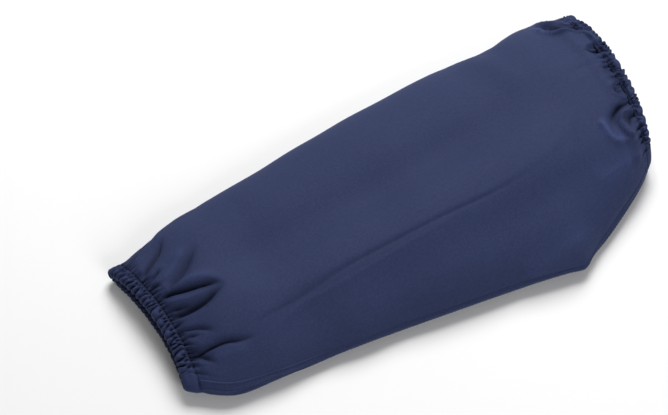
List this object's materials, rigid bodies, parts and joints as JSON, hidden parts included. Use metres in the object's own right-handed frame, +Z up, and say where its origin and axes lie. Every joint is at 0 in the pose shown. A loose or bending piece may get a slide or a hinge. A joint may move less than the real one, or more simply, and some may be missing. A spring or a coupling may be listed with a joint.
{
  "type": "protective sleeve",
  "caption": "Navy twill over-sleeve for the forearm, a tapered open tube with a side seam and gathered elastic hems at the wrist and the arm, lying flat.",
  "frame": {"origin": "under the middle of the sleeve, on the surface that it lies on", "axes": "+X from the wrist end to the arm end, +Y from the seamed front edge to the back edge, +Z up"},
  "size_m": [0.4644, 0.2278, 0.049],
  "materials": {
    "navy_twill": "matte fine twill weave with a soft sheen",
    "woven_elastic": "matte woven rubber band"
  },
  "bodies": {
    "root": {"sleeve_body": "navy_twill", "side_seam": "navy_twill", "wrist_hem": "navy_twill", "wrist_elastic": "woven_elastic", "arm_hem": "navy_twill", "arm_elastic": "woven_elastic"}
  },
  "joints": []
}
